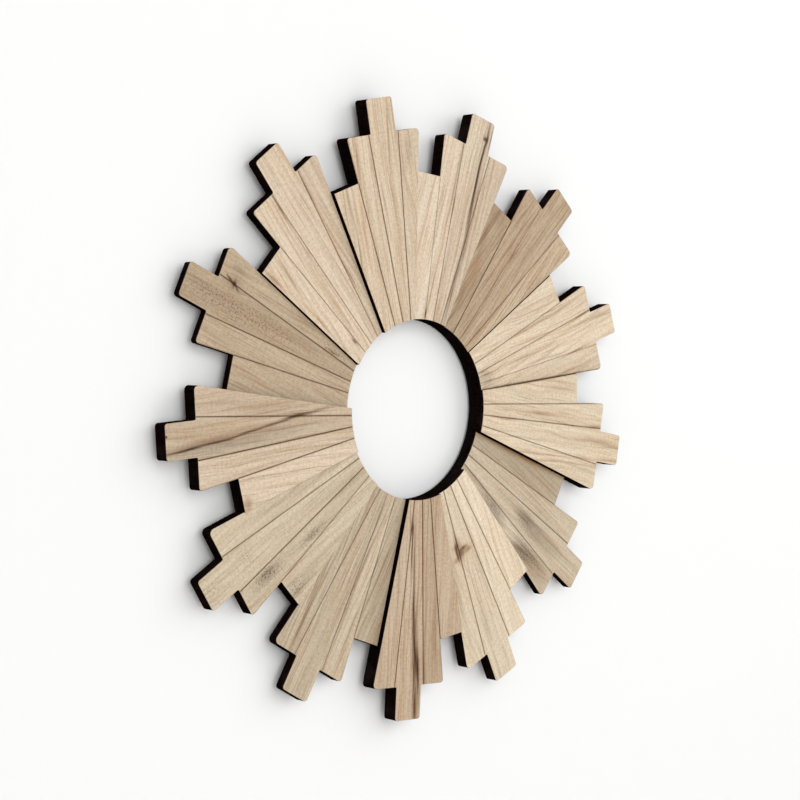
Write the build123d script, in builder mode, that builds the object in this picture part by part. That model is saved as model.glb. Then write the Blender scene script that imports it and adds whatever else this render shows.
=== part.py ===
"""Wooden sunburst wall piece: thirteen stepped rays on a hidden backing ring, round an open centre.

Frame: millimetres, +Z up, the front faces -Y. The origin is the centre of the round opening, on the
wall that the bumpers rest against. Angles are in degrees, clockwise from straight up as seen from the front.
"""

import os
from math import cos, radians, sin, sqrt

from build123d import *

os.makedirs("parts", exist_ok=True)

# ---- driving dimensions ------------------------------------------------------------------------------

RAYS = 13
PITCH = 360 / RAYS
FIRST_AXIS = -10.45  # where the first ray's long tip points

# The finished thickness of each ray, board and veneer together, clockwise from the first one.
RAY_THICKNESS = (16.0, 14.0, 12.5, 14.0, 15.5, 8.5, 13.5, 16.0, 10.5, 12.5, 15.0, 8.0, 11.5)
VENEER = 0.8

OPENING_RADIUS = 89.0
JOINT_GAP = 0.2  # between neighbouring rays

# Each ray has four steps: short, medium, long and medium again. A scored line marks each change.
# The lines pass a little to one side of the centre, so the rays turn about the opening like a pinwheel.
# A line is an angle from the ray's axis and a distance from the centre, both clockwise when positive.
SIDE_LINE = (-16.0, -8.4)  # the ray's first side, and one pitch further on its last
SHORT_LINE = (-8.8, -5.3)  # between the short and medium steps
LONG_FIRST_LINE = (-3.7, -2.1)
LONG_LAST_LINE = (5.1, -5.0)
TIP_FIRST_SIDE = (0.0, -16.8)
TIP_LAST_SIDE = (0.0, 16.2)

# How far each step reaches from the centre, measured square to its end.
SHORT_END_TURN = -10.4  # the short step's end is square to this angle from the ray's axis
SHORT_REACH = 231.6
MEDIUM_REACH = 271.4
LONG_REACH = 304.8

FIRST_MEDIUM_CORNER = 3.0
LAST_MEDIUM_CORNER = 4.5
LONG_CORNER = 3.0
NOTCH_CORNER = 1.6
FACE_EASING = 0.15  # the tiny bevel round a veneer's face

SCORE_WIDTH = 0.8
SCORE_DEPTH = 0.45
SCORE_STOP = 0.6  # how far each cut stops before the step's end

RING_THICKNESS = 5.5
RING_OUTER_RADIUS = 200.0

SCREW_RADII = (112.0, 178.0)  # where a ray's two screws stand, from the centre
SCREW_TURN = -4.5  # and their angle from the ray's axis
SCREW_SHANK = 3.5  # diameter
SCREW_HEAD = 7.0  # diameter
SCREW_LENGTH = 10.0
SCREW_POINT = 2.0
HEAD_SUNK = 0.2
CLEARANCE_HOLE = 4.0  # diameter
COUNTERSINK = 90
PILOT_DEPTH = 5.0
CROSS_LENGTH = 3.6
CROSS_WIDTH = 0.8
CROSS_DEPTH = 1.2

HANGER_HEIGHT = 162.0  # the hanger's toothed lower edge, above the centre
HANGER_LENGTH = 58.0
HANGER_WIDTH = 13.0
HANGER_SHEET = 0.9
HANGER_BRIDGE = 38.0  # the raised length that the teeth are in
HANGER_SLOPE = 2.0  # the length of each bend, at the bridge's ends
HANGER_RISE = 1.3
TEETH = 9
TOOTH_PITCH = 3.6
TOOTH_DEPTH = 2.4
HANGER_SCREW_SPACING = 50.0
HANGER_SCREW_SHANK = 2.8  # diameter
HANGER_SCREW_HEAD = 5.6  # diameter
HANGER_SCREW_HEAD_HEIGHT = 1.6
HANGER_SCREW_LENGTH = 4.5  # under the head

BUMPER_RADIUS = 9.0
BUMPER_THICKNESS = 3.0
BUMPER_EDGE = 1.2  # the rounding of a bumper's rim
BUMPER_CIRCLE = 145.0
BUMPERS = 4

RING_BACK = Plane.front.offset(BUMPER_THICKNESS)  # drawn from the front, and built forwards
RAY_BACK = RING_BACK.offset(RING_THICKNESS)
BEHIND_RING = Plane.back.offset(-BUMPER_THICKNESS)  # drawn from behind, and built towards the wall


# ---- the outline that a ray's board and veneer share --------------------------------------------------


def direction(angle):
    return Vector(sin(radians(angle)), cos(radians(angle)))


def turned(line, angle, shift=0.0):
    """A line turned about the centre, and moved clockwise."""
    return line[0] + angle, line[1] + shift


def line_point(line, distance):
    """The point of a line at a distance from where it passes nearest to the centre."""
    angle, offset = line
    return direction(angle + 90) * offset + direction(angle) * distance


def to_radius(line, radius):
    """How far along a line it meets a circle round the centre."""
    return sqrt(radius**2 - line[1] ** 2)


def to_end(line, square_to, reach):
    """How far along a line it meets a step's end, which is square to the direction `square_to`."""
    angle, offset = line
    turn = radians(square_to - angle)
    return (reach - offset * sin(turn)) / cos(turn)


def step_corner(line, square_to, reach):
    return line_point(line, to_end(line, square_to, reach))


def ray_corners(axis):
    """The corners of the ray that points in the direction `axis`, clockwise from its inner end."""
    first_side = turned(SIDE_LINE, axis, JOINT_GAP / 2)
    last_side = turned(SIDE_LINE, axis + PITCH, -JOINT_GAP / 2)
    short_line = turned(SHORT_LINE, axis)
    tip_first = turned(TIP_FIRST_SIDE, axis)
    tip_last = turned(TIP_LAST_SIDE, axis)
    short_end = axis + SHORT_END_TURN
    return {
        "inner_first": line_point(first_side, to_radius(first_side, OPENING_RADIUS)),
        "short_first": step_corner(first_side, short_end, SHORT_REACH),
        "short_last": step_corner(short_line, short_end, SHORT_REACH),
        "medium_first": step_corner(short_line, axis, MEDIUM_REACH),
        "notch_first": step_corner(tip_first, axis, MEDIUM_REACH),
        "tip_first": step_corner(tip_first, axis, LONG_REACH),
        "tip_last": step_corner(tip_last, axis, LONG_REACH),
        "notch_last": step_corner(tip_last, axis, MEDIUM_REACH),
        "medium_last": step_corner(last_side, axis, MEDIUM_REACH),
        "inner_last": line_point(last_side, to_radius(last_side, OPENING_RADIUS)),
    }


ROUNDED_CORNERS = {
    "medium_first": FIRST_MEDIUM_CORNER,
    "notch_first": NOTCH_CORNER,
    "tip_first": LONG_CORNER,
    "tip_last": LONG_CORNER,
    "notch_last": NOTCH_CORNER,
    "medium_last": LAST_MEDIUM_CORNER,
}


def ray_outline(axis):
    """The flat outline of the ray that points in the direction `axis`."""
    corners = ray_corners(axis)
    with BuildSketch() as outline:
        with BuildLine():
            Polyline(*corners.values())
            ThreePointArc(
                corners["inner_first"],
                direction(axis + SCREW_TURN) * OPENING_RADIUS,
                corners["inner_last"],
            )
        make_face()
        for name, radius in ROUNDED_CORNERS.items():
            fillet(outline.vertices().sort_by_distance(corners[name])[0], radius)
    return outline.sketch


def scored_lines(axis):
    """The lines scored in a ray's face, from the opening out: each line, and where it starts and ends."""
    scores = []
    for line, turn, reach in (
        (SHORT_LINE, SHORT_END_TURN, SHORT_REACH),
        (LONG_FIRST_LINE, 0, MEDIUM_REACH),
        (LONG_LAST_LINE, 0, MEDIUM_REACH),
    ):
        line = turned(line, axis)
        start = to_radius(line, OPENING_RADIUS) - SCORE_STOP
        end = to_end(line, axis + turn, reach) - SCORE_STOP
        scores.append((line, start, end))
    return scores


# ---- the rays ------------------------------------------------------------------------------------------


def make_core(label, axis, thickness):
    """A ray's board, with blind pilot holes in its back."""
    outline = ray_outline(axis)
    with BuildPart() as core:
        with BuildSketch(RAY_BACK):
            add(outline)
        extrude(amount=thickness - VENEER)
        with BuildSketch(RAY_BACK):
            with Locations(*[direction(axis + SCREW_TURN) * radius for radius in SCREW_RADII]):
                Circle(SCREW_SHANK / 2)
        extrude(amount=PILOT_DEPTH, mode=Mode.SUBTRACT)
    core.part.label = label
    export_step(core.part, f"parts/{label}.step")


def make_veneer(label, axis, thickness):
    """A ray's face, with an eased edge and three scored lines."""
    outline = ray_outline(axis)
    with BuildPart() as veneer:
        with BuildSketch(RAY_BACK.offset(thickness - VENEER)):
            add(outline)
        extrude(amount=VENEER)
        chamfer(veneer.faces().sort_by(Axis.Y)[0].edges(), FACE_EASING)
        with BuildSketch(RAY_BACK.offset(thickness)):
            for line, start, end in scored_lines(axis):
                with Locations(line_point(line, (start + end) / 2)):
                    Rectangle(SCORE_WIDTH, end - start, rotation=-line[0])
        extrude(amount=-SCORE_DEPTH, mode=Mode.SUBTRACT)
    veneer.part.label = label
    export_step(veneer.part, f"parts/{label}.step")


for number, thickness in enumerate(RAY_THICKNESS, start=1):
    axis = FIRST_AXIS + (number - 1) * PITCH
    make_core(f"ray_{number:02d}_core", axis, thickness)
    make_veneer(f"ray_{number:02d}_veneer", axis, thickness)

# ---- the backing ring ----------------------------------------------------------------------------------

first_screws = FIRST_AXIS + SCREW_TURN
hanger_middle = HANGER_HEIGHT + HANGER_WIDTH / 2

with BuildPart() as backing_ring:
    with BuildSketch(RING_BACK):
        Circle(RING_OUTER_RADIUS)
        Circle(OPENING_RADIUS, mode=Mode.SUBTRACT)
    extrude(amount=RING_THICKNESS)
    with Locations(BEHIND_RING):
        for radius in SCREW_RADII:
            with PolarLocations(radius, RAYS, start_angle=90 + first_screws):
                CounterSinkHole(
                    CLEARANCE_HOLE / 2,
                    SCREW_HEAD / 2 + HEAD_SUNK,
                    RING_THICKNESS,
                    COUNTERSINK,
                )
        with Locations((0, hanger_middle)):
            with GridLocations(HANGER_SCREW_SPACING, 0, 2, 1):
                Hole(HANGER_SCREW_SHANK / 2, HANGER_SCREW_LENGTH)
backing_ring.part.label = "backing_ring"
export_step(backing_ring.part, "parts/backing_ring.step")

# ---- the countersunk screws that hold the rays ---------------------------------------------------------

head_end = HEAD_SUNK + (SCREW_HEAD - SCREW_SHANK) / 2

with BuildPart() as ray_screw:
    with BuildSketch(Plane.XZ):
        with BuildLine():
            Polyline(
                (0, HEAD_SUNK),
                (SCREW_HEAD / 2, HEAD_SUNK),
                (SCREW_SHANK / 2, head_end),
                (SCREW_SHANK / 2, SCREW_LENGTH - SCREW_POINT),
                (0, SCREW_LENGTH),
                close=True,
            )
        make_face()
    revolve(axis=Axis.Z)
    with BuildSketch(Plane.XY.offset(HEAD_SUNK)):
        Rectangle(CROSS_LENGTH, CROSS_WIDTH)
        Rectangle(CROSS_WIDTH, CROSS_LENGTH)
    extrude(amount=CROSS_DEPTH, mode=Mode.SUBTRACT)

with BuildPart(RING_BACK) as ray_screws:
    for radius in SCREW_RADII:
        with PolarLocations(radius, RAYS, start_angle=90 - first_screws):
            add(ray_screw.part)
ray_screws.part.label = "ray_screws"
export_step(ray_screws.part, "parts/ray_screws.step")

# ---- the sawtooth hanger, bent from one strip, and its two screws --------------------------------------

half_bridge = HANGER_BRIDGE / 2
foot_edge = half_bridge + HANGER_SLOPE
half_length = HANGER_LENGTH / 2
strip_near_ring = [
    (-half_length, 0),
    (-foot_edge, 0),
    (-half_bridge, HANGER_RISE),
    (half_bridge, HANGER_RISE),
    (foot_edge, 0),
    (half_length, 0),
]
strip_near_wall = [(x, rise + HANGER_SHEET) for x, rise in reversed(strip_near_ring)]
strip_end = Plane(origin=(0, -BUMPER_THICKNESS, HANGER_HEIGHT), x_dir=(1, 0, 0), z_dir=(0, 0, 1))
hanger_face = BEHIND_RING.offset(HANGER_RISE + HANGER_SHEET)

with BuildPart() as sawtooth_hanger:
    with BuildSketch(strip_end):
        with BuildLine():
            Polyline(*strip_near_ring, *strip_near_wall, close=True)
        make_face()
    extrude(amount=HANGER_WIDTH)
    with BuildSketch(hanger_face):
        with Locations((0, HANGER_HEIGHT)):
            with GridLocations(TOOTH_PITCH, 0, TEETH, 1):
                Polygon(
                    (-TOOTH_PITCH / 2, -TOOTH_DEPTH),
                    (TOOTH_PITCH / 2, -TOOTH_DEPTH),
                    (TOOTH_PITCH / 2, 0),
                    (0, TOOTH_DEPTH),
                    (-TOOTH_PITCH / 2, 0),
                    align=None,
                )
    extrude(amount=-HANGER_RISE - HANGER_SHEET, mode=Mode.SUBTRACT)
    with Locations(BEHIND_RING.offset(HANGER_SHEET)):
        with Locations((0, hanger_middle)):
            with GridLocations(HANGER_SCREW_SPACING, 0, 2, 1):
                Hole(HANGER_SCREW_SHANK / 2, HANGER_SHEET)
sawtooth_hanger.part.label = "sawtooth_hanger"
export_step(sawtooth_hanger.part, "parts/sawtooth_hanger.step")

with BuildPart() as hanger_screw:
    with BuildSketch(Plane.XZ):
        with BuildLine():
            Polyline(
                (0, -HANGER_SCREW_LENGTH),
                (HANGER_SCREW_SHANK / 2, -HANGER_SCREW_LENGTH),
                (HANGER_SCREW_SHANK / 2, 0),
                (HANGER_SCREW_HEAD / 2, 0),
                (HANGER_SCREW_HEAD / 2, HANGER_SCREW_HEAD_HEIGHT),
                (0, HANGER_SCREW_HEAD_HEIGHT),
                close=True,
            )
        make_face()
    revolve(axis=Axis.Z)
    fillet(hanger_screw.faces().sort_by(Axis.Z)[-1].edges(), HANGER_SCREW_HEAD_HEIGHT / 2)
    with BuildSketch(Plane.XY.offset(HANGER_SCREW_HEAD_HEIGHT)):
        Rectangle(CROSS_LENGTH, CROSS_WIDTH)
        Rectangle(CROSS_WIDTH, CROSS_LENGTH)
    extrude(amount=-CROSS_DEPTH, mode=Mode.SUBTRACT)

with BuildPart(BEHIND_RING.offset(HANGER_SHEET)) as hanger_screws:
    with Locations((0, hanger_middle)):
        with GridLocations(HANGER_SCREW_SPACING, 0, 2, 1):
            add(hanger_screw.part)
hanger_screws.part.label = "hanger_screws"
export_step(hanger_screws.part, "parts/hanger_screws.step")

# ---- the rubber bumpers that rest on the wall ----------------------------------------------------------

with BuildPart(BEHIND_RING) as wall_bumpers:
    with PolarLocations(BUMPER_CIRCLE, BUMPERS, start_angle=45):
        Cylinder(BUMPER_RADIUS, BUMPER_THICKNESS, align=(Align.CENTER, Align.CENTER, Align.MIN))
    wall_rims = wall_bumpers.faces().sort_by(Axis.Y)[-BUMPERS:].edges()
    fillet(wall_rims, BUMPER_EDGE)
wall_bumpers.part.label = "wall_bumpers"
export_step(wall_bumpers.part, "parts/wall_bumpers.step")
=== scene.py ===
"""The looks of the wooden sunburst: pale scored wood with black cut edges, on a white wall in soft light.

The object's shapes are all the frame's own. This script adds materials, a wall, a floor, lights and a camera.
"""

from math import cos, radians, sin, tan

import bpy
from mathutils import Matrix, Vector


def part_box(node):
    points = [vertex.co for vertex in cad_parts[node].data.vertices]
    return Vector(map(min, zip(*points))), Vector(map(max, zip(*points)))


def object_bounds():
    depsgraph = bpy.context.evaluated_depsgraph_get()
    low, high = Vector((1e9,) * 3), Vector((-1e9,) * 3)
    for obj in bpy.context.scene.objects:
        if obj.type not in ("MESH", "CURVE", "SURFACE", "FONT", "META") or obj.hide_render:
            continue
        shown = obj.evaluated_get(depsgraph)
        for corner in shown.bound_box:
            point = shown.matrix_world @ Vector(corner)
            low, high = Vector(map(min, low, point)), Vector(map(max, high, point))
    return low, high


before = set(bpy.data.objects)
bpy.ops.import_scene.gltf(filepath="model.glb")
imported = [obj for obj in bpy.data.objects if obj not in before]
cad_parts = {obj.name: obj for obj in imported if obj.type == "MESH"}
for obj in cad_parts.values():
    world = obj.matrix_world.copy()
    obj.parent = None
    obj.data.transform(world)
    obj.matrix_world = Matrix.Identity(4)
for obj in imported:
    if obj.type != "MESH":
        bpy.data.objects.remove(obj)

cad_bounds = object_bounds()

MM = 0.001
RAYS = 13
PITCH = 360 / RAYS
FIRST_AXIS = -10.45  # the way the first ray's long tip points, in degrees clockwise from straight up
SCORED_LINES = ((-8.8, -5.3), (-3.7, -2.1), (5.1, -5.0))  # degrees from the ray's axis, mm beside the centre

# ---- a short way to write node trees -------------------------------------------------------------------


class Tree:
    """One material's nodes. Each method adds a node and returns its output socket."""

    def __init__(self, name):
        self.material = bpy.data.materials.new(name)
        self.material.use_nodes = True
        self.nodes = self.material.node_tree.nodes
        self.links = self.material.node_tree.links
        self.nodes.clear()
        self.output = self.nodes.new("ShaderNodeOutputMaterial")

    def plug(self, socket, value):
        """Links a socket, or sets a plain value."""
        if isinstance(value, bpy.types.NodeSocket):
            self.links.new(value, socket)
        elif isinstance(value, tuple) and len(value) == 3 and socket.type == "RGBA":
            socket.default_value = (*value, 1)
        else:
            socket.default_value = value

    def math(self, operation, a, b=0.0, c=0.0):
        node = self.nodes.new("ShaderNodeMath")
        node.operation = operation
        for socket, value in zip(node.inputs, (a, b, c)):
            self.plug(socket, value)
        return node.outputs[0]

    def dot(self, vector, direction):
        node = self.nodes.new("ShaderNodeVectorMath")
        node.operation = "DOT_PRODUCT"
        self.plug(node.inputs[0], vector)
        self.plug(node.inputs[1], direction)
        return node.outputs["Value"]

    def point(self, x, y, z):
        node = self.nodes.new("ShaderNodeCombineXYZ")
        for socket, value in zip(node.inputs, (x, y, z)):
            self.plug(socket, value)
        return node.outputs[0]

    def place(self):
        """The point on the object, in the row frame, in metres."""
        return self.nodes.new("ShaderNodeTexCoord").outputs["Object"]

    def noise(self, point, scale=1.0, detail=2.0, roughness=0.5):
        node = self.nodes.new("ShaderNodeTexNoise")
        self.plug(node.inputs["Vector"], point)
        self.plug(node.inputs["Scale"], scale)
        self.plug(node.inputs["Detail"], detail)
        self.plug(node.inputs["Roughness"], roughness)
        return node.outputs["Fac"]

    def random(self, value, seed):
        """A number from 0 to 1 for each whole number."""
        node = self.nodes.new("ShaderNodeTexWhiteNoise")
        node.noise_dimensions = "1D"
        self.plug(node.inputs["W"], self.math("ADD", value, seed))
        return node.outputs["Value"]

    def between(self, value, low, high, start=0.0, end=1.0):
        """A smooth step from start to end as value goes from low to high."""
        node = self.nodes.new("ShaderNodeMapRange")
        node.interpolation_type = "SMOOTHSTEP"
        for socket, given in zip(node.inputs, (value, low, high, start, end)):
            self.plug(socket, given)
        return node.outputs[0]

    def mix(self, factor, a, b, blend="MIX"):
        node = self.nodes.new("ShaderNodeMix")
        node.data_type = "RGBA"
        node.blend_type = blend
        self.plug(node.inputs["Factor"], factor)
        self.plug(node.inputs["A"], a)
        self.plug(node.inputs["B"], b)
        return node.outputs["Result"]

    def bump(self, height, distance, strength):
        """A relief: distance is in metres, and strength goes from 0 to 1."""
        node = self.nodes.new("ShaderNodeBump")
        self.plug(node.inputs["Height"], height)
        self.plug(node.inputs["Distance"], distance)
        self.plug(node.inputs["Strength"], strength)
        return node.outputs[0]

    def principled(self, **inputs):
        """Ends the tree in one Principled shader. A name's underscores stand for spaces."""
        shader = self.nodes.new("ShaderNodeBsdfPrincipled")
        for name, value in inputs.items():
            self.plug(shader.inputs[name.replace("_", " ")], value)
        self.links.new(shader.outputs[0], self.output.inputs["Surface"])
        return self.material


def linear(colour):
    """A screen colour, 0 to 1, as the linear colour that shaders take."""
    return tuple(c / 12.92 if c <= 0.04045 else ((c + 0.055) / 1.055) ** 2.4 for c in colour)


def shade(colour, factor):
    return tuple(c * f for c, f in zip(colour, factor))


# ---- the wood of the rays' faces -----------------------------------------------------------------------

LIGHT_LEVEL = 1.18  # how bright the room is: a face's screen colour is its own colour times this
BARE_WOOD = (1.33, 1.41, 1.48)  # how much lighter the wood is before its grain goes on

# What the cutter burnt: the bottom of a scored line, the veneer's side, and the board's side below it.
BURNT_LINE = (0.060, 0.030, 0.017)
BURNT_EDGE = (0.055, 0.024, 0.018)
CHAR = (0.0034, 0.0018, 0.0014)

# Tints: what a mark multiplies the wood's colour by.
BROWN = (0.50, 0.36, 0.26)
DARK_BROWN = (0.24, 0.15, 0.10)
PINK = (0.90, 0.80, 0.75)
GREY = (0.62, 0.62, 0.62)
TAN = (0.80, 0.72, 0.62)
RUST = (0.86, 0.66, 0.50)
PALE = (1.14, 1.15, 1.17)
SCORCHED = (0.42, 0.31, 0.24)
FLECK = (0.38, 0.32, 0.28)
RING_TINT = (0.60, 0.50, 0.41)
FIBRE_TINT = (0.73, 0.68, 0.63)
MOTTLE_TINT = (0.74, 0.70, 0.655)
FIGURE_TINT = (0.83, 0.80, 0.77)

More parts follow.
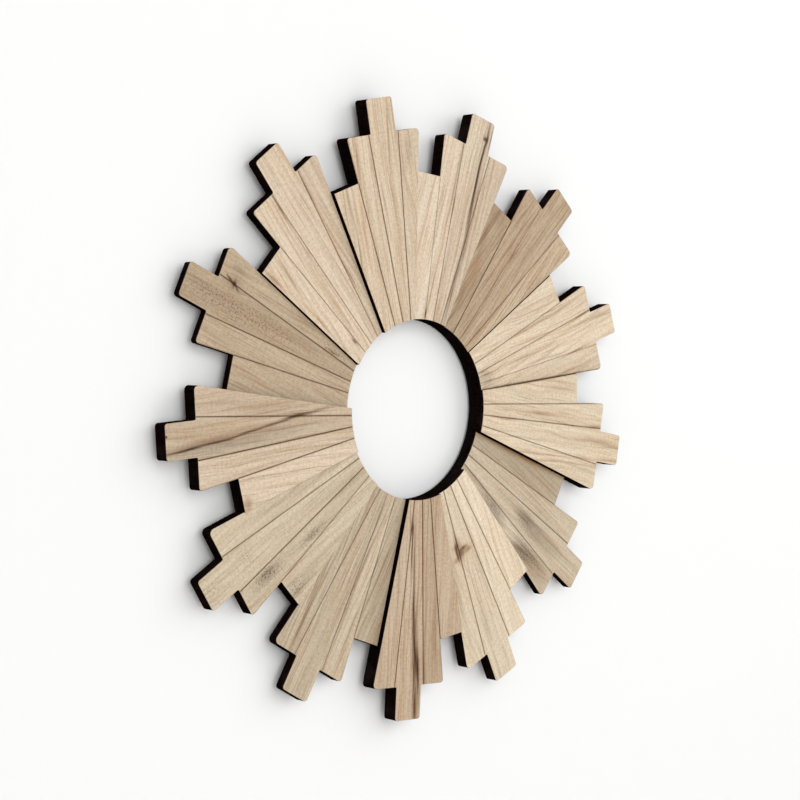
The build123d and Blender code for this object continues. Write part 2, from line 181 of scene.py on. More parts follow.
# Each ray's look. Lengths are in millimetres: `along` runs out from the centre of the opening on the
# ray's axis, and `across` runs clockwise from it. The scored lines divide a face in four strips.
#   tone     the face's average colour on the screen, and `strips` how much lighter each strip is
#   grain    (ring spacing, lean of the rings along the ray, wander, ring contrast, streak contrast)
#   lines    how burnt the three scored lines are
#   streaks  (along, across, half length, half width, lean, strength, tint), frayed along the grain
#   patches  the same, with a mottled flat top; a last number, if there, keeps it to one strip
#   flecks   (along, across, half length, half width, lean, strength) of an area of small dark specks
#   knots    (along, across, size) of what the grain goes round
RAY_LOOKS = (
    {
        "tone": (214, 194, 168),
        "strips": (2, 1, -1, -3),
        "grain": (6.5, 0.010, 3.0, 0.30, 0.55),
        "lines": (0.80, 0.80, 0.75),
        "streaks": (
            (248, -37.0, 22, 1.8, -0.02, 0.50, BROWN),
            (172, -40.0, 42, 3.0, -0.05, 0.45, PINK),
            (205, -54.0, 20, 1.6, -0.10, 0.35, BROWN),
            (268, 6.0, 32, 1.0, 0.08, 0.55, BROWN),
            (190, 3.0, 60, 2.2, 0.02, 0.25, BROWN),
            (250, 29.0, 16, 4.5, 0.10, 0.40, GREY),
            (140, -27.0, 36, 2.0, -0.12, 0.30, BROWN),
        ),
    },
    {
        "tone": (216, 197, 173),
        "strips": (4, 4, -2, -9),
        "grain": (5.5, -0.005, 2.5, 0.34, 0.50),
        "lines": (0.15, 0.35, 0.40),
        "streaks": (
            (272, 9.0, 34, 1.8, 0.02, 0.62, DARK_BROWN),
            (286, 8.0, 2.6, 2.0, 0.00, 0.95, DARK_BROWN),
            (250, 8.8, 60, 0.9, 0.01, 0.80, DARK_BROWN),
            (232, 9.5, 30, 1.5, 0.00, 0.72, DARK_BROWN),
            (186, 10.0, 34, 1.6, 0.01, 0.55, DARK_BROWN),
            (128, 7.8, 36, 2.0, 0.05, 0.48, DARK_BROWN),
            (290, 15.5, 14, 1.3, 0.00, 0.70, DARK_BROWN),
            (230, 14.3, 32, 1.1, 0.00, 0.55, BROWN),
            (172, 12.8, 22, 1.0, 0.02, 0.50, BROWN),
            (206, -14.5, 12, 0.9, -0.03, 0.60, BROWN),
            (240, -19.5, 40, 1.4, -0.01, 0.35, BROWN),
            (200, 0.0, 50, 1.4, 0.00, 0.35, BROWN),
            (150, -10.0, 60, 2.0, -0.03, 0.25, BROWN),
            (93, -20.3, 5, 0.9, -0.10, 0.95, DARK_BROWN),
        ),
        "knots": ((286, 8, 1.7),),
    },
    {
        "tone": (191, 169, 142),
        "strips": (-12, -2, 2, 9),
        "grain": (4.5, 0.030, 3.5, 0.32, 0.80),
        "lines": (0.75, 0.05, 0.40),
        "streaks": (
            (204, -14.0, 5, 0.9, 0.00, 0.60, BROWN),
            (110, -8.0, 22, 1.0, -0.03, 0.45, BROWN),
            (150, 8.5, 60, 1.6, 0.06, 0.35, BROWN),
            (230, 1.0, 60, 3.0, 0.00, 0.22, BROWN),
            (190, -58.0, 14, 3.0, -0.20, 0.50, BROWN),
        ),
        "patches": (
            (217, -58.0, 10, 9.0, 0.00, 0.28, BROWN, 1),
            (152, -42.0, 22, 5.0, -0.30, 0.55, RUST, 1),
            (124, -39.0, 14, 4.0, -0.25, 0.35, BROWN, 1),
            (240, -29.0, 26, 9.0, 0.00, 0.16, BROWN, 2),
            (203, -25.5, 12, 6.0, 0.00, 0.35, PINK, 2),
            (285, 0.0, 16, 12.0, 0.00, 0.18, TAN, 3),
        ),
    },
    {
        "tone": (219, 200, 174),
        "strips": (0, 1, 6, -5),
        "grain": (8.0, 0.016, 4.5, 0.30, 0.50),
        "lines": (0.35, 0.40, 0.25),
        "streaks": (
            (258, -19.3, 18, 1.1, -0.07, 0.80, BROWN),
            (215, -34.5, 48, 1.6, -0.06, 0.50, BROWN),
            (165, -29.0, 26, 1.4, -0.14, 0.50, BROWN),
            (270, -10.0, 34, 2.2, 0.07, 0.45, BROWN),
            (180, -18.0, 30, 1.6, 0.05, 0.42, RUST),
            (155, -1.0, 30, 1.4, 0.00, 0.42, BROWN),
            (240, 16.0, 16, 1.3, 0.06, 0.65, BROWN),
            (190, 9.0, 34, 1.6, 0.04, 0.42, BROWN),
            (222, 34.0, 34, 1.5, 0.05, 0.50, BROWN),
            (103, 4.0, 5, 1.0, 0.00, 0.70, GREY),
            (100, -3.5, 5, 1.0, 0.00, 0.80, GREY),
            (96, -7.0, 5, 1.0, 0.00, 0.70, GREY),
        ),
        "patches": (
            (98, 1.0, 10, 9.0, 0.00, 0.40, GREY),
            (205, 32.0, 60, 9.0, 0.18, 0.20, TAN, 4),
            (180, 28.2, 110, 1.1, 0.207, 0.80, DARK_BROWN),
        ),
    },
    {
        "tone": (219, 200, 173),
        "strips": (-2, -1, 1, 1),
        "grain": (7.0, 0.010, 5.0, 0.40, 0.45),
        "lines": (0.60, 0.65, 0.55),
        "streaks": (
            (262, -20.0, 12, 1.6, -0.06, 0.75, BROWN),
            (265, -4.6, 34, 2.4, 0.00, 0.50, BROWN),
            (200, -3.4, 36, 1.6, 0.02, 0.28, BROWN),
            (173, -23.0, 16, 2.0, -0.06, 0.50, BROWN),
            (287, 11.8, 16, 0.9, 0.00, 0.60, RUST),
            (240, 25.5, 34, 1.5, 0.03, 0.40, BROWN),
            (128, -11.0, 20, 1.2, -0.06, 0.45, BROWN),
            (196, -50.0, 30, 3.0, -0.16, 0.25, GREY),
        ),
        "patches": (
            (210, -31.0, 24, 7.0, 0.00, 0.15, TAN, 2),
            (150, -51.5, 70, 0.8, -0.287, 0.60, DARK_BROWN),
        ),
    },
    {
        "tone": (196, 179, 154),
        "strips": (-9, 6, 8, 4),
        "grain": (5.0, 0.010, 2.5, 0.18, 0.45),
        "lines": (0.50, 0.60, 0.45),
        "streaks": (
            (205, -6.0, 20, 2.0, -0.02, 0.60, GREY),
            (196, -2.0, 14, 1.6, 0.00, 0.50, BROWN),
            (240, 0.0, 34, 6.0, 0.00, 0.30, GREY),
            (209, 27.5, 14, 2.2, -0.02, 0.50, BROWN),
            (228, 22.0, 20, 1.6, 0.05, 0.50, BROWN),
            (170, -3.0, 24, 2.4, 0.00, 0.30, GREY),
            (120, 6.0, 28, 1.6, 0.06, 0.50, GREY),
            (262, -5.0, 40, 1.2, -0.01, 0.35, BROWN),
        ),
        "patches": (
            (198, -3.0, 13, 8.0, 0.00, 0.62, GREY, 3),
            (216, 1.0, 16, 9.0, 0.00, 0.40, GREY, 3),
            (242, 0.0, 26, 11.0, 0.00, 0.22, BROWN, 3),
            (242, 29.0, 27, 11.0, 0.06, 0.42, BROWN, 4),
            (214, 27.0, 13, 9.0, 0.00, 0.55, GREY, 4),
            (226, 26.0, 17, 6.0, -0.05, 0.45, GREY, 4),
            # These two are painted shade: the warm brown shade that the raised ray 5 casts on this face along
            # their shared side, tinted like a scorch.
            (160, -54.0, 75, 4.5, -0.287, 0.75, RUST),
            (150, -52.0, 65, 1.6, -0.287, 0.60, BROWN),
            (150, 14.0, 19, 7.0, 0.12, 0.72, GREY, 4),
            (186, 20.0, 12, 7.0, 0.30, 0.90, PALE, 4),
            (180, -43.0, 60, 9.0, -0.22, 0.18, BROWN, 1),
        ),
        "flecks": (
            (226, 27.0, 24, 9.0, 0.00, 0.75),
            (203, -1.0, 20, 9.0, 0.00, 0.45),
            (150, 14.0, 16, 7.0, 0.12, 0.50),
        ),
        "knots": ((221, 33, 4.0),),
    },
    {
        "tone": (221, 203, 177),
        "strips": (5, 4, -4, -3),
        "grain": (7.5, 0.005, 3.0, 0.26, 0.40),
        "lines": (0.60, 0.72, 0.72),
        "streaks": (
            (246, 5.0, 22, 2.4, 0.02, 0.30, BROWN),
            (153, 8.8, 13, 1.3, 0.06, 0.95, DARK_BROWN),
            (150, -12.0, 30, 2.0, -0.05, 0.22, BROWN),
            (285, -6.0, 18, 2.0, 0.00, 0.20, BROWN),
            (190, 25.0, 50, 3.0, 0.10, 0.25, BROWN),
        ),
        "patches": (
            (158, 7.5, 4.5, 3.4, 0.10, 0.80, BROWN),
            (157, 1.0, 4.0, 7.0, 0.10, 0.60, BROWN),
            (154, 2.0, 1.6, 4.0, 0.00, 0.70, DARK_BROWN),
            (159, -5.0, 2.2, 3.5, 0.10, 0.50, BROWN),
            (162, 14.5, 3.0, 5.5, 0.20, 0.55, BROWN),
            (149, 12.0, 2.4, 4.5, 0.00, 0.40, BROWN),
            (157, 5.0, 9.0, 13.0, 0.00, 0.18, RUST),
        ),
        "knots": ((157, 7, 5.0),),
    },
    {
        "tone": (193, 170, 144),
        "strips": (2, -5, 5, 3),
        "grain": (5.5, 0.005, 2.5, 0.28, 0.60),
        "lines": (0.90, 0.90, 0.70),
        "streaks": (
            (292, -8.5, 18, 2.0, -0.04, 0.90, DARK_BROWN),
            (252, -8.5, 20, 4.4, -0.06, 0.90, BROWN),
            (258, -11.0, 24, 1.1, -0.05, 0.85, DARK_BROWN),
            (262, -5.5, 22, 1.0, -0.05, 0.80, DARK_BROWN),
            (215, -5.0, 24, 2.6, -0.09, 0.70, BROWN),
            (236, -6.6, 22, 1.6, -0.11, 0.90, DARK_BROWN),
            (196, -2.0, 26, 1.1, -0.07, 0.90, DARK_BROWN),
            (150, 0.2, 28, 0.8, -0.02, 0.65, DARK_BROWN),
            (136, 4.0, 22, 0.9, 0.02, 0.95, DARK_BROWN),
            (117, 4.3, 8, 1.8, 0.02, 0.85, DARK_BROWN),
            (262, -19.0, 20, 2.0, -0.06, 0.45, BROWN),
            (230, -34.0, 34, 1.4, -0.08, 0.35, BROWN),
            (150, -13.5, 40, 2.4, -0.06, 0.40, RUST),
            (230, 8.0, 34, 1.5, 0.04, 0.30, BROWN),
        ),
        "patches": (
            (240, -30.0, 32, 9.0, -0.16, 0.14, RUST, 2),
            (248, -8.5, 13, 3.6, -0.06, 0.35, GREY, 3),
            (255, 9.0, 46, 6.0, 0.00, 0.25, PALE, 3),
        ),
    },
    {
        "tone": (195, 178, 153),
        "strips": (-6, 8, 3, -3),
        "grain": (4.6, 0.005, 2.0, 0.30, 0.65),
        "lines": (0.35, 0.40, 0.45),
        "streaks": (
            (245, 26.0, 24, 1.2, 0.02, 0.70, BROWN),
            (190, 22.5, 40, 1.2, 0.07, 0.50, BROWN),
            (212, -19.0, 24, 1.1, -0.05, 0.50, BROWN),
            (178, -15.5, 24, 1.1, -0.04, 0.50, BROWN),
            (270, -3.0, 36, 3.0, 0.00, 0.30, GREY),
            (190, 3.0, 60, 2.0, 0.02, 0.30, BROWN),
            (225, -33.0, 34, 1.4, -0.05, 0.35, BROWN),
            (140, -20.0, 34, 1.6, -0.10, 0.40, RUST),
        ),
        # Painted shade: a faint brown band along the side by ray 8, where the raised ray 8 shades this face.
        "patches": ((195, -56.0, 50, 8.0, -0.25, 0.20, BROWN, 1),),
    },
    {
        "tone": (204, 187, 161),
        "strips": (0, -6, 1, 3),
        "grain": (6.5, 0.005, 3.0, 0.20, 0.42),
        "lines": (0.40, 0.80, 0.60),
        "streaks": (
            (205, -56.0, 22, 4.0, -0.20, 0.40, GREY),
            (236, -26.0, 14, 4.0, -0.05, 0.50, GREY),
            (172, -25.0, 14, 2.4, -0.05, 0.50, GREY),
            (236, -23.0, 9, 1.6, 0.00, 0.55, BROWN),
            (195, 24.0, 44, 3.0, 0.12, 0.25, BROWN),
            (130, -4.0, 40, 4.0, 0.00, 0.25, GREY),
        ),
        "patches": (
            (218, -56.0, 6, 8.0, 0.00, 0.35, GREY, 1),
            (238, -26.0, 12, 5.0, 0.00, 0.34, GREY, 2),
            (175, -25.0, 10, 4.0, 0.00, 0.24, GREY, 2),
        ),
        "flecks": (
            (238, -26.0, 18, 6.0, -0.05, 0.95),
            (172, -25.0, 16, 4.0, -0.05, 0.80),
            (216, -57.0, 12, 9.0, -0.10, 0.70),
            (296, 0.0, 9, 12.0, 0.00, 0.45),
            (250, 2.0, 8, 13.0, 0.00, 0.40),
        ),
    },
    {
        "tone": (204, 184, 159),
        "strips": (11, 7, -6, -3),
        "grain": (6.0, 0.010, 3.5, 0.22, 0.48),
        "lines": (0.85, 1.00, 0.80),
        "streaks": (
            (285, -8.6, 26, 1.1, -0.12, 0.90, DARK_BROWN),
            (240, -3.0, 30, 1.0, -0.12, 0.75, BROWN),
            (186, 4.0, 24, 1.2, -0.12, 0.62, DARK_BROWN),
            (156, 8.4, 15, 1.5, -0.07, 1.00, DARK_BROWN),
            (258, -2.6, 42, 3.4, -0.11, 0.60, BROWN),
            (225, -1.6, 75, 0.8, -0.127, 0.60, BROWN),
            (285, 3.0, 24, 1.6, -0.03, 0.30, BROWN),
            (134, 11.0, 16, 1.6, -0.16, 0.60, BROWN),
            (245, 30.0, 30, 1.5, 0.08, 0.30, BROWN),
            (205, -34.0, 50, 1.6, -0.12, 0.25, BROWN),
        ),
        "patches": (
            (250, -9.8, 44, 5.4, -0.09, 0.50, GREY, 3),
            (185, -5.5, 44, 7.0, -0.08, 0.34, GREY, 3),
            (304, 4.5, 1.4, 1.3, 0.00, 0.95, DARK_BROWN),
            (219, -66.0, 5, 8.0, 0.00, 0.50, BROWN, 1),
            (250, 6.0, 50, 7.0, 0.00, 0.30, RUST, 3),
            (200, 24.0, 44, 9.0, 0.12, 0.16, BROWN, 4),
        ),
    },
    {
        "tone": (187, 166, 139),
        "strips": (4, 1, -4, 2),
        "grain": (5.0, 0.010, 2.5, 0.16, 0.50),
        "lines": (0.72, 0.75, 0.75),
        "streaks": (
            (265, -2.0, 40, 6.0, 0.00, 0.25, BROWN),
            (252, 30.5, 12, 3.4, 0.10, 0.55, GREY),
            (121, 9.5, 7, 1.6, 0.05, 0.60, BROWN),
            (190, 2.0, 50, 4.0, 0.00, 0.20, BROWN),
        ),
        "patches": (
            (253, 18.0, 2.6, 1.9, 0.00, 0.95, DARK_BROWN),
            (258, 19.5, 6.0, 1.3, 0.45, 0.85, DARK_BROWN),
            (249, 15.5, 4.0, 1.2, 0.60, 0.70, DARK_BROWN),
            (253, 18.0, 1.6, 4.6, 0.00, 0.70, BROWN),
            (254, 19.0, 9.0, 8.0, 0.00, 0.30, BROWN),
        ),
        "flecks": (
            (270, -3.0, 46, 11.0, 0.00, 0.52),
            (200, -2.0, 50, 8.0, 0.00, 0.45),
            (122, 10.0, 12, 3.0, 0.05, 0.90),
        ),
        "knots": ((253, 18, 4.0),),
    },
    {
        "tone": (215, 195, 170),
        "strips": (3, 3, 0, -8),
        "grain": (6.0, 0.005, 3.0, 0.28, 0.50),
        "lines": (0.35, 0.35, 0.40),
        "streaks": (
            (256, -19.2, 15, 1.3, -0.04, 0.80, BROWN),
            (200, -17.0, 40, 1.0, -0.04, 0.40, BROWN),
            (208, -65.0, 12, 1.5, -0.25, 0.60, BROWN),
            (202, -48.5, 20, 2.0, -0.06, 0.55, BROWN),
            (160, -48.0, 20, 2.0, -0.20, 0.45, RUST),
            (140, -44.0, 20, 1.4, -0.20, 0.40, BROWN),
            (252, 18.0, 18, 1.4, 0.08, 0.55, BROWN),
            (192, 12.8, 24, 1.6, 0.08, 0.45, RUST),
            (160, 9.5, 24, 1.2, 0.06, 0.50, BROWN),
            (104, -22.0, 4, 1.2, -0.30, 0.75, DARK_BROWN),
            (140, -20.0, 30, 1.6, -0.05, 0.35, BROWN),
        ),
    },
)

# The noises of the wood: size across the grain and along it, in millimetres, then detail and a seed.
FIBRES = (0.40, 11.0, 2.0, 0.0)
FINE_STREAKS = (0.9, 45.0, 3.0, 3.0)
BOLD_STREAKS = (2.2, 130.0, 3.0, 21.0)
BROWN_BANDS = (7.0, 260.0, 3.0, 5.0)
PINK_BANDS = (11.0, 120.0, 2.0, 9.0)
RING_WOBBLE = (24.0, 240.0, 2.0, 13.0)
RING_WEAR = (9.0, 70.0, 2.0, 17.0)
PORES = (0.55, 5.0, 1.0, 29.0)
LINE_WEAR = (6.0, 22.0, 3.0, 41.0)
MOTTLE = (1.2, 3.0, 3.0, 0.0)
CROSS_FIGURE = (5.0, 2.6, 2.0, 25.0)
SPECKS = (1.5, 2.2, 0.0, 33.0)
SEED_STEP = 37.0  # from one ray's noises to the next one's

# How rough a noise is.
FRAYED = 0.6
MOTTLED = 0.7
EVEN = 0.5

# The levels between which a noise becomes something with an edge.
PORE_LEVELS = (0.66, 0.76)
SPECK_LEVELS = (0.54, 0.66)

# What darkens a board by its streak contrast: the noise, the levels of it where the stain starts and where
# it is full, how strong it is then, and its tint.
STREAK_STAINS = (
    (BROWN_BANDS, 0.36, 0.68, 1.178, (0.78, 0.73, 0.68)),
    (PINK_BANDS, 0.40, 0.68, 1.71, (0.97, 0.91, 0.87)),
    (BOLD_STREAKS, 0.50, 0.74, 1.805, (0.66, 0.57, 0.49)),
    (FINE_STREAKS, 0.50, 0.78, 1.52, (0.58, 0.49, 0.41)),
)
PORE_STRENGTH = 0.40
RING_STRENGTH = 1.7  # times a board's ring contrast
RING_WOBBLE_REACH = 2.4  # rings
RING_RISE = (0.30, 0.88)  # a ring darkens slowly over this part of its width, and ends sharply
WANDER_RATE = (0.016, 0.010)  # how fast the grain's wander changes, across the ray and along it
WANDER_REACH = 3.0  # millimetres, times a board's wander

MARK_RIM = 0.48  # how much of a mark is left at its rim
STREAK_STRENGTH = 1.25  # times each streak's own strength
PATCH_STRENGTH = 1.15
PATCH_FLATNESS = 1.6  # over 1, a patch is even in its middle and fades quickly at its rim
FRAYED_SPREAD = (0.45, 2.0)  # how the fibres lengthen and shorten a streak
RAGGED_SPREAD = (0.55, 1.6)  # and how the mottle does so with a patch
KNOT_REACH = (3.2, 1.7)  # how far the grain goes aside, along and across, in knot sizes
KNOT_FALL = 0.4  # how much of that is left at the reach's rim

# The scored lines and the burnt sides, in millimetres: from a line's middle, or down from the face.
STRIP_BORDER = (-0.3, 0.3)
CUT_EDGE = 0.45
SCORCH_REACH = 1.4
SCORCH_STRENGTH = 0.75
CUT_ZONE = (0.9, 1.0)  # this near to a line, what is below the face belongs to the cut
CUT_BURNS = (0.08, 0.30)
SIDE_STARTS = 0.06
SIDE_STARTS_DEEPER = 0.40  # by this much inside a cut, so that the cut keeps its own colour
SIDE_FADE = 0.10
BROWN_TO_BLACK = (0.50, 0.65)  # how the burnt side darkens as it goes down

WOOD_ROUGHNESS = (0.62, 0.78)
GRAIN_RELIEF = 0.12 * MM


def spread_round(tree, at, mark):
    """0 at a mark's centre and 1 at its rim. `at` is the point as (along, across, 1)."""
    mark_along, mark_across, half_length, half_width, lean = mark[:5]
    out = tree.dot(at, (1 / half_length, 0, -mark_along / half_length))
    side = tree.dot(at, (-lean / half_width, 1 / half_width, (lean * mark_along - mark_across) / half_width))
    from_centre = tree.point(out, side, 0.0)
    return tree.dot(from_centre, from_centre)


class WoodFace:
    """The scored wood of one ray. Its grain runs out along the ray, and its cuts and sides are burnt."""

    def __init__(self, name, number, face_y, look):
        self.tree = tree = Tree(name)
        self.look = look
        self.seed = SEED_STEP * number
        axis = radians(FIRST_AXIS + (number - 1) * PITCH)
        place = tree.place()
        self.along = tree.dot(place, (sin(axis) / MM, 0, cos(axis) / MM))
        self.across = tree.dot(place, (cos(axis) / MM, 0, -sin(axis) / MM))
        self.depth = tree.math("SUBTRACT", tree.dot(place, (0, 1 / MM, 0)), face_y / MM)
        self.on_face = tree.point(self.along, self.across, 1.0)
        self.grain = self.wandering_grain()
        self.fibres = self.drawn_out(FIBRES)
        self.fine = self.drawn_out(FINE_STREAKS)
        self.pores = tree.between(self.drawn_out(PORES), *PORE_LEVELS)
        self.mottle = self.noise_over(self.across, MOTTLE, MOTTLED)
        self.strips = [tree.between(self.beside(line), *STRIP_BORDER) for line in SCORED_LINES]
        self.colour = self.bare_wood()

    def beside(self, line):
        """How far a point is from a line, clockwise of it: an angle, and how far it passes the centre."""
        angle, offset = line
        angle = radians(angle)
        line_across = self.tree.math("MULTIPLY_ADD", self.along, tan(angle), offset / cos(angle))
        return self.tree.math("SUBTRACT", self.across, line_across)

    def wandering_grain(self):
        """The place across the grain, which wanders a little and is drawn aside round each knot."""
        tree = self.tree
        wander = self.look["grain"][2]
        slow_across, slow_along = (
            tree.math("MULTIPLY", place, rate) for place, rate in zip((self.across, self.along), WANDER_RATE)
        )
        drift = tree.noise(tree.point(slow_across, self.seed, slow_along))
        grain = self.across
        for knot_along, knot_across, size in self.look.get("knots", ()):
            round_knot = (knot_along, knot_across, *(size * reach for reach in KNOT_REACH), 0)
            spread = spread_round(tree, self.on_face, round_knot)
            aside = tree.math("SUBTRACT", knot_across, self.across)
            grain = tree.math("MULTIPLY_ADD", aside, tree.math("POWER", KNOT_FALL, spread), grain)
        return tree.math("MULTIPLY_ADD", tree.math("SUBTRACT", drift, 0.5), wander * WANDER_REACH, grain)

    def noise_over(self, across, noise, roughness):
        """One of the wood's noises. Across is the place across the board, or across its grain."""
        tree = self.tree
        width, length, detail, offset = noise
        place = tree.point(
            tree.math("DIVIDE", across, width), self.seed + offset, tree.math("DIVIDE", self.along, length)
        )
        return tree.noise(place, detail=detail, roughness=roughness)

    def drawn_out(self, noise):
        """A noise that follows the grain."""
        return self.noise_over(self.grain, noise, FRAYED)

    def bare_wood(self):
        """The wood before its grain, a little different in each strip."""
        tones = []
        for lift in self.look["strips"]:
            on_screen = tuple((part + lift) / 255 for part in self.look["tone"])
            tones.append(shade(linear(on_screen), tuple(part / LIGHT_LEVEL for part in BARE_WOOD)))
        wood = tones[0]
        for strip, tone in zip(self.strips, tones[1:]):
            wood = self.tree.mix(strip, wood, tone)
        return wood

    def stain(self, amount, tint):
        """Multiplies the colour so far by a tint, as far as the amount says."""
        self.colour = self.tree.mix(amount, self.colour, tint, "MULTIPLY")

    def lay_grain(self):
        """Broad bands and streaks, the growth rings, then what is fine: fibres, mottle, figure and pores."""
        tree = self.tree
        *_, ring_contrast, streak_contrast = self.look["grain"]
        for noise, low, high, strength, tint in STREAK_STAINS:
            strength *= streak_contrast
            self.stain(tree.between(self.drawn_out(noise), low, high, 0.0, strength), tint)
        wear = tree.between(self.drawn_out(RING_WEAR), 0.35, 0.62, 0.25, 1.0)
        rings = tree.math("MULTIPLY", self.ring_lines(), wear)
        self.stain(tree.math("MULTIPLY", rings, ring_contrast * RING_STRENGTH), RING_TINT)
        self.stain(tree.between(self.fibres, 0.35, 0.80, 0.0, 0.55), FIBRE_TINT)
        self.stain(tree.between(self.mottle, 0.42, 0.64, 0.0, 0.55), MOTTLE_TINT)
        figure = self.noise_over(self.across, CROSS_FIGURE, EVEN)
        self.stain(tree.between(figure, 0.40, 0.66, 0.0, 0.50), FIGURE_TINT)
        self.stain(tree.math("MULTIPLY", self.pores, PORE_STRENGTH), BROWN)

    def ring_lines(self):
        """The dark lines of the growth rings: uneven in their spacing, and each with its own darkness."""
        tree = self.tree
        spacing, lean, *_ = self.look["grain"]
        place = tree.math("MULTIPLY_ADD", self.grain, 1 / spacing, tree.math("MULTIPLY", self.along, lean))
        place = tree.math("MULTIPLY_ADD", self.drawn_out(RING_WOBBLE), RING_WOBBLE_REACH, place)
        ring = tree.math("FLOOR", place)
        within = tree.math("SUBTRACT", place, ring)
        start, top = RING_RISE
        rise = tree.between(within, start, top)
        fall = tree.between(within, top, 1.0)
        return tree.math("MULTIPLY", tree.math("SUBTRACT", rise, fall), tree.random(ring, self.seed))

    def lay_streaks(self):
        """What follows the grain: dark veins, pink and grey lines."""
        tree = self.tree
        on_grain = tree.point(self.along, self.grain, 1.0)
        frayed = tree.between(self.fine, 0.30, 0.70, *FRAYED_SPREAD)
        for mark in self.look["streaks"]:
            strength, tint = mark[5:]
            spread = tree.math("MULTIPLY", spread_round(tree, on_grain, mark), frayed)
            amount = tree.math("POWER", MARK_RIM, spread)
            self.stain(tree.math("MULTIPLY", amount, strength * STREAK_STRENGTH), tint)

    def lay_patches(self):
        """What lies across the grain: stains, knots and burnt rims, and painted shade beside a raised ray."""
        tree = self.tree
        ragged = tree.between(self.mottle, 0.35, 0.65, *RAGGED_SPREAD)
        for mark in self.look.get("patches", ()):
            strength, tint = mark[5:7]
            spread = tree.math("MULTIPLY", spread_round(tree, self.on_face, mark), ragged)
            amount = tree.math("POWER", MARK_RIM, tree.math("POWER", spread, PATCH_FLATNESS))
            amount = tree.math("MULTIPLY", amount, strength * PATCH_STRENGTH)
            self.stain(self.kept_to(mark[7:], amount), tint)

    def kept_to(self, wanted, amount):
        """The amount in one strip only, where a strip is wanted. Strips count from 1, clockwise."""
        tree = self.tree
        for border, past_it in enumerate(self.strips, start=1):
            if wanted == (border,):
                amount = tree.math("MULTIPLY", amount, tree.math("SUBTRACT", 1.0, past_it))
            if wanted == (border + 1,):
                amount = tree.math("MULTIPLY", amount, past_it)
        return amount

    def lay_flecks(self):
        """Small dark specks, fainter towards an area's rim."""
        tree = self.tree
        if "flecks" not in self.look:
            return
        specks = tree.between(self.noise_over(self.across, SPECKS, EVEN), *SPECK_LEVELS)
        for mark in self.look["flecks"]:
            strength = mark[5]
            amount = tree.math("POWER", MARK_RIM, spread_round(tree, self.on_face, mark))
            self.stain(tree.math("MULTIPLY", tree.math("MULTIPLY", amount, specks), strength), FLECK)

    def burn(self):
        """The scored lines, burnt at the bottom and a little scorched beside, and the burnt sides."""
        tree = self.tree
        uneven = tree.between(self.drawn_out(LINE_WEAR), 0.30, 0.65, 0.60, 1.0)
        burnt = groove = 0.0
        for line, strength in zip(SCORED_LINES, self.look["lines"]):
            near = tree.math("ABSOLUTE", self.beside(line))
            self.stain(tree.between(near, CUT_EDGE, SCORCH_REACH, SCORCH_STRENGTH * strength, 0.0), SCORCHED)
            within = tree.between(near, *CUT_ZONE, 1.0, 0.0)
            groove = tree.math("ADD", groove, within)
            burnt = tree.math("MULTIPLY_ADD", within, strength, burnt)
        burnt = tree.math("MULTIPLY", burnt, uneven)
        cut = tree.math("MULTIPLY", tree.between(self.depth, *CUT_BURNS), burnt)
        self.colour = tree.mix(cut, self.colour, BURNT_LINE)
        side_starts = tree.math("MULTIPLY_ADD", groove, SIDE_STARTS_DEEPER, SIDE_STARTS)
        side = tree.between(self.depth, side_starts, tree.math("ADD", side_starts, SIDE_FADE))
        side_colour = tree.mix(tree.between(self.depth, *BROWN_TO_BLACK), BURNT_EDGE, CHAR)
        self.colour = tree.mix(side, self.colour, side_colour)

    def finished(self):
        """The whole material. The fibres stand up a little and the pores are open."""
        tree = self.tree
        self.lay_grain()
        self.lay_streaks()
        self.lay_patches()
        self.lay_flecks()
        self.burn()
        height = tree.math("MULTIPLY", tree.math("ADD", self.fibres, self.fine), 0.5)
        height = tree.math("MULTIPLY_ADD", self.pores, -0.5, height)
        return tree.principled(
            Base_Color=self.colour,
            Roughness=tree.between(self.fine, 0.2, 0.8, *WOOD_ROUGHNESS),
            Specular_IOR_Level=0.3,
            Normal=tree.bump(height, GRAIN_RELIEF, 0.6),
        )


# ---- the black cut edges and the backing ---------------------------------------------------------------

# Each pair is a material's darkest tone and its lightest.
SOOT = ((0.0016, 0.0008, 0.0007), (0.0070, 0.0038, 0.0031))
GREYED_SOOT = (0.0090, 0.0058, 0.0049)
BACK_STAIN = ((0.016, 0.012, 0.010), (0.036, 0.027, 0.022))
BACK_STAIN_IN_LINES = (0.012, 0.009, 0.008)
EDGE_PAINT = ((0.0018, 0.0015, 0.0014), (0.0048, 0.0041, 0.0038))
BACK_PAINT = ((0.020, 0.019, 0.018), (0.034, 0.032, 0.030))
WORN_PAINT = (0.030, 0.025, 0.021)
BACK_STARTS = (0.06, 0.02)  # millimetres before a board's back face, where its edge's colour ends


def with_back(tree, y, back_y, edge, back):
    """The back's colour on a board's back face, and the edge's everywhere else. y is in millimetres."""
    start, full = (back_y / MM - before for before in BACK_STARTS)
    return tree.mix(tree.between(y, start, full), edge, back)


def charred_board(name, back_y):
    """A board's edge, burnt black by the cutter with fine upright lines, and its dark stained back."""
    tree = Tree(name)
    place = tree.place()
    x, y, z = (tree.dot(place, axis) for axis in ((1 / MM, 0, 0), (0, 1 / MM, 0), (0, 0, 1 / MM)))
    lines = tree.noise(tree.point(x, tree.math("MULTIPLY", y, 0.06), z), scale=1.6, detail=3.0)
    blotches = tree.noise(tree.point(x, y, z), scale=0.05, detail=4.0)
    sooty = tree.mix(tree.between(lines, 0.35, 0.75), *SOOT)
    edge = tree.mix(tree.between(blotches, 0.45, 0.8), sooty, GREYED_SOOT)
    back = tree.mix(tree.between(blotches, 0.3, 0.7), *BACK_STAIN)
    back = tree.mix(tree.between(lines, 0.4, 0.7, 0.0, 0.6), back, BACK_STAIN_IN_LINES)
    return tree.principled(
        Base_Color=with_back(tree, y, back_y, edge, back),
        Roughness=tree.between(blotches, 0.3, 0.7, 0.62, 0.85),
        Specular_IOR_Level=0.0,
        Normal=tree.bump(lines, 0.2 * MM, 0.7),
    )


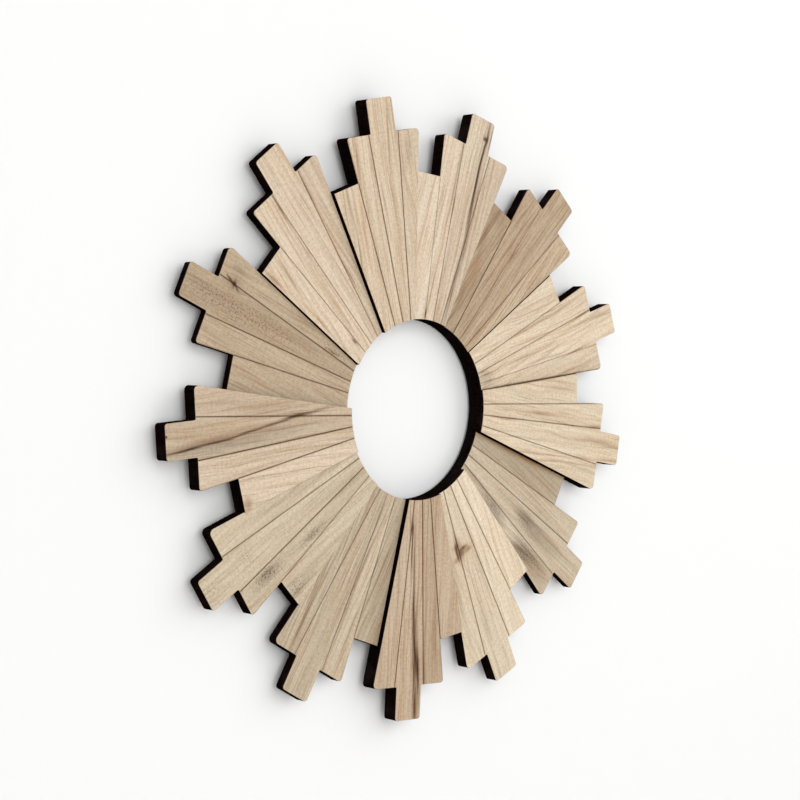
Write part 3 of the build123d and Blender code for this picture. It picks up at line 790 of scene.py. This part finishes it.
def drawn_out_along_x(tree, place, x_scale, z_scale, detail):
    """A noise of lines that run sideways."""
    sideways = tree.dot(place, (x_scale, 0, 0))
    upwards = tree.dot(place, (0, 0, z_scale))
    return tree.noise(tree.point(sideways, 0.0, upwards), detail=detail)


def painted_ring(name, back_y):
    """Board painted black with a roller, a little worn and dusty."""
    tree = Tree(name)
    place = tree.place()
    y = tree.dot(place, (0, 1 / MM, 0))
    stipple = tree.noise(place, scale=900.0, detail=2.0)
    clouds = tree.noise(place, scale=14.0, detail=4.0)
    fibre = drawn_out_along_x(tree, place, 30, 900, detail=3.0)
    worn = tree.between(tree.noise(place, scale=60.0, detail=6.0, roughness=0.7), 0.62, 0.75)
    edge = tree.mix(clouds, *EDGE_PAINT)
    back = tree.mix(clouds, *BACK_PAINT)
    paint = with_back(tree, y, back_y, edge, back)
    height = tree.math("MULTIPLY_ADD", fibre, 0.7, stipple)
    return tree.principled(
        Base_Color=tree.mix(tree.math("MULTIPLY", worn, 0.30), paint, WORN_PAINT),
        Roughness=tree.between(clouds, 0.3, 0.7, 0.55, 0.72),
        Specular_IOR_Level=0.0,
        Normal=tree.bump(height, 0.12 * MM, 0.7),
    )


# ---- the metal and rubber behind -----------------------------------------------------------------------

SPANGLE = (0.82, 0.83, 0.86)  # how much darker the plating's crystals are
DULLED = (0.60, 0.60, 0.58)  # and its dull spots
RUBBER = (0.022, 0.021, 0.020)
DUST = (0.075, 0.070, 0.064)


def zinc_plated(name, colour, roughness):
    """Plated steel with a soft sheen, fine rolling lines and faint spots."""
    tree = Tree(name)
    place = tree.place()
    rolled = drawn_out_along_x(tree, place, 40, 2500, detail=2.0)
    spangle = tree.noise(place, scale=420.0, detail=3.0)
    dull = tree.between(tree.noise(place, scale=110.0, detail=3.0), 0.45, 0.75)
    tint = tree.mix(tree.between(spangle, 0.3, 0.7), shade(colour, SPANGLE), colour)
    return tree.principled(
        Base_Color=tree.mix(tree.math("MULTIPLY", dull, 0.4), tint, shade(colour, DULLED)),
        Metallic=1.0,
        Roughness=tree.between(dull, 0.0, 1.0, roughness, roughness + 0.2),
        Normal=tree.bump(rolled, 0.02 * MM, 0.5),
    )


def bumper_rubber(name):
    """Matt dark rubber with a fine moulded grain and a little dust."""
    tree = Tree(name)
    place = tree.place()
    grain = tree.noise(place, scale=2600.0, detail=2.0)
    dust = tree.between(tree.noise(place, scale=260.0, detail=4.0), 0.5, 0.8)
    return tree.principled(
        Base_Color=tree.mix(tree.math("MULTIPLY", dust, 0.5), RUBBER, DUST),
        Roughness=tree.between(dust, 0.0, 1.0, 0.58, 0.80),
        Specular_IOR_Level=0.4,
        Normal=tree.bump(grain, 0.05 * MM, 0.6),
    )


def dress(node, material):
    """Gives a CAD node its material."""
    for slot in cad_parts[node].material_slots:
        slot.material = material


ray_back_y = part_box("ray_01_core")[1].y
ray_edge = charred_board("ray_edge_black", ray_back_y)
for number, look in enumerate(RAY_LOOKS, start=1):
    veneer = f"ray_{number:02d}_veneer"
    face_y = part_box(veneer)[0].y
    dress(veneer, WoodFace(f"ray_{number:02d}_wood", number, face_y, look).finished())
    dress(f"ray_{number:02d}_core", ray_edge)
dress("backing_ring", painted_ring("ring_black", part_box("backing_ring")[1].y))
dress("ray_screws", zinc_plated("screw_zinc", colour=(0.62, 0.60, 0.55), roughness=0.32))
dress("hanger_screws", zinc_plated("hanger_screw_zinc", colour=(0.66, 0.65, 0.63), roughness=0.30))
dress("sawtooth_hanger", zinc_plated("hanger_zinc", colour=(0.66, 0.62, 0.52), roughness=0.34))
dress("wall_bumpers", bumper_rubber("bumper_black"))

# ---- the wall and the floor ----------------------------------------------------------------------------

WALL_GAP = 0.1 * MM  # behind the bumpers
WALL_SPAN = 6.0
WALL_HEIGHT = 4.5
WALL_WHITE = (0.86, 0.86, 0.86)
FLOOR_LEVEL = -1.5
FLOOR_SPAN = 14.0
FLOOR_TONES = ((0.74, 0.73, 0.71), (0.80, 0.79, 0.77))


def backdrop(name, corners, material):
    """A flat sheet behind or below the object, which isn't part of it."""
    mesh = bpy.data.meshes.new(name)
    mesh.from_pydata(corners, [], [(0, 1, 2, 3)])
    mesh.materials.append(material)
    sheet = bpy.data.objects.new(name, mesh)
    bpy.context.scene.collection.objects.link(sheet)


def wall_paint():
    """White paint with a faint roller texture. It casts no shadow, and from behind it can't be seen."""
    tree = Tree("wall_paint")
    roller = tree.noise(tree.place(), scale=220.0, detail=3.0)
    paint = tree.nodes.new("ShaderNodeBsdfPrincipled")
    tree.plug(paint.inputs["Base Color"], WALL_WHITE)
    tree.plug(paint.inputs["Roughness"], 0.9)
    tree.plug(paint.inputs["Specular IOR Level"], 0.2)
    tree.plug(paint.inputs["Normal"], tree.bump(roller, 0.05 * MM, 0.3))
    nothing = tree.nodes.new("ShaderNodeBsdfTransparent")
    ray = tree.nodes.new("ShaderNodeLightPath")
    side = tree.nodes.new("ShaderNodeNewGeometry")
    seen_from_behind = tree.math("MULTIPLY", ray.outputs["Is Camera Ray"], side.outputs["Backfacing"])
    absent = tree.math("MAXIMUM", seen_from_behind, ray.outputs["Is Shadow Ray"])
    blend = tree.nodes.new("ShaderNodeMixShader")
    for socket, value in zip(blend.inputs, (absent, paint.outputs[0], nothing.outputs[0])):
        tree.plug(socket, value)
    tree.plug(tree.output.inputs["Surface"], blend.outputs[0])
    return tree.material


def floor_paint():
    """A pale floor, a little clouded."""
    tree = Tree("floor_pale")
    mottle = tree.noise(tree.place(), scale=3.0, detail=4.0)
    return tree.principled(Base_Color=tree.mix(mottle, *FLOOR_TONES), Roughness=0.7)


wall_y = cad_bounds[1].y + WALL_GAP
square = ((0, 0), (1, 0), (1, 1), (0, 1))
wall_corners = [((x - 0.5) * WALL_SPAN, wall_y, FLOOR_LEVEL + z * WALL_HEIGHT) for x, z in square]
floor_corners = [((x - 0.5) * FLOOR_SPAN, (y - 0.5) * FLOOR_SPAN, FLOOR_LEVEL) for x, y in square]
backdrop("wall", wall_corners, wall_paint())
backdrop("floor", floor_corners, floor_paint())

# ---- light ---------------------------------------------------------------------------------------------

ROOM_LIGHT = 0.58
# Each lamp: azimuth and elevation in degrees, distance, width and height in metres, watts.
LAMPS = {
    "window": (48, 18, 2.4, 2.2, 2.2, 17),
    "front_fill": (-14, 12, 3.0, 3.0, 2.6, 44),
    "rear_light": (200, 25, 2.6, 2.0, 2.0, 75),
}


def way_to(azimuth, elevation):
    """The direction from the object to a viewer: azimuth 0 is in front, and 90 is on the right."""
    turn, rise = radians(azimuth), radians(elevation)
    return Vector((sin(turn) * cos(rise), -cos(turn) * cos(rise), sin(rise)))


def area_light(name, azimuth, elevation, distance, width, height, watts):
    """A soft box that shines at the object and doesn't show."""
    data = bpy.data.lights.new(name, "AREA")
    data.shape = "RECTANGLE"
    data.size = width
    data.size_y = height
    data.energy = watts
    lamp = bpy.data.objects.new(name, data)
    back = way_to(azimuth, elevation)
    lamp.location = back * distance
    lamp.rotation_euler = back.to_track_quat("Z", "Y").to_euler()
    lamp.visible_camera = False
    bpy.context.scene.collection.objects.link(lamp)


for lamp_name, setting in LAMPS.items():
    area_light(lamp_name, *setting)

world = bpy.data.worlds.new("room")
world.use_nodes = True
sky = world.node_tree.nodes["Background"]
sky.inputs["Color"].default_value = (1.0, 1.0, 1.0, 1)
sky.inputs["Strength"].default_value = ROOM_LIGHT
bpy.context.scene.world = world
bpy.context.scene.view_settings.view_transform = "Standard"

# ---- camera --------------------------------------------------------------------------------------------

CAMERA_AZIMUTH = -43.305
CAMERA_ELEVATION = 2.66
CAMERA_DISTANCE = 1.7595
CAMERA_AIM = (-0.0129, 0.0, 0.0095)  # from the opening's centre, on the plane of the rays' backs
CAMERA_LENS = 80.12
CAMERA_SENSOR = 36

opening_centre = Vector((0, ray_back_y, 0))
camera_data = bpy.data.cameras.new("camera")
camera_data.lens = CAMERA_LENS
camera_data.sensor_width = CAMERA_SENSOR
camera = bpy.data.objects.new("camera", camera_data)
camera.location = opening_centre + way_to(CAMERA_AZIMUTH, CAMERA_ELEVATION) * CAMERA_DISTANCE
looking = opening_centre + Vector(CAMERA_AIM) - camera.location
camera.rotation_euler = looking.to_track_quat("-Z", "Y").to_euler()
bpy.context.scene.collection.objects.link(camera)
bpy.context.scene.camera = camera
